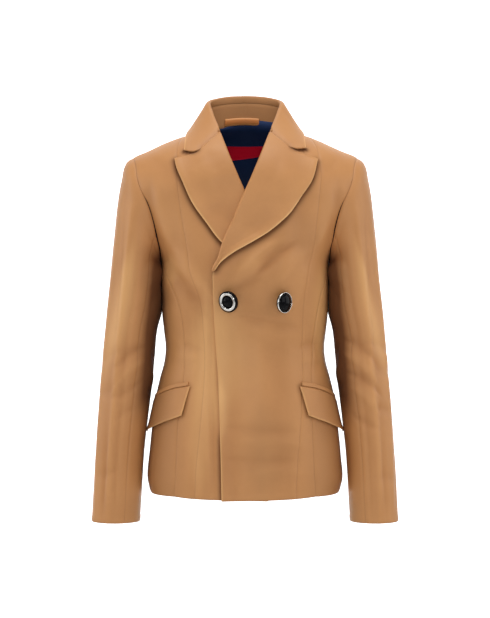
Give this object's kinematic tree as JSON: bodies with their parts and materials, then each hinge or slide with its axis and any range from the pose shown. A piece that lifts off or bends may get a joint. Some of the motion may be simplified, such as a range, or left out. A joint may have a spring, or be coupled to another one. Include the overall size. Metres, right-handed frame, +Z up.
{
  "type": "leather jacket",
  "caption": "Short fitted double-breasted leather jacket, worn hollow and buttoned, with peak lapels, turn-down collar, long two-piece sleeves and slanted hip pocket flaps.",
  "frame": {"origin": "between the shoulders, level with the shoulder and neck seams, where the wearer carries it", "axes": "the front faces -Y, +Z is up and +X is the wearer's left"},
  "size_m": [0.5106, 0.2514, 0.718],
  "materials": {
    "leather": "smooth semi-matte tan leather",
    "lining": "dark navy satin lining with a red band",
    "loop_leather": "orange-tan leather tape",
    "button_black": "gloss black",
    "button_metal": "bright polished metal"
  },
  "bodies": {
    "root": {"front_left": "leather", "side_front_left": "leather", "side_panel_left": "leather", "back_left": "leather", "sleeve_top_left": "leather", "sleeve_under_left": "leather", "lapel_left": "leather", "pocket_flap_left": "leather", "pocket_welt_left": "leather", "front_right": "leather", "side_front_right": "leather", "side_panel_right": "leather", "back_right": "leather", "sleeve_top_right": "leather", "sleeve_under_right": "leather", "lapel_right": "leather", "pocket_flap_right": "leather", "pocket_welt_right": "leather", "collar": "leather", "collar_stand": "leather", "back_lining": "lining", "hanger_loop": "loop_leather", "button_edge_body": "button_black", "button_edge_dome": "button_black", "button_edge_ring": "button_metal", "button_side_body": "button_black", "button_side_dome": "button_black", "button_side_ring": "button_metal"}
  },
  "joints": []
}
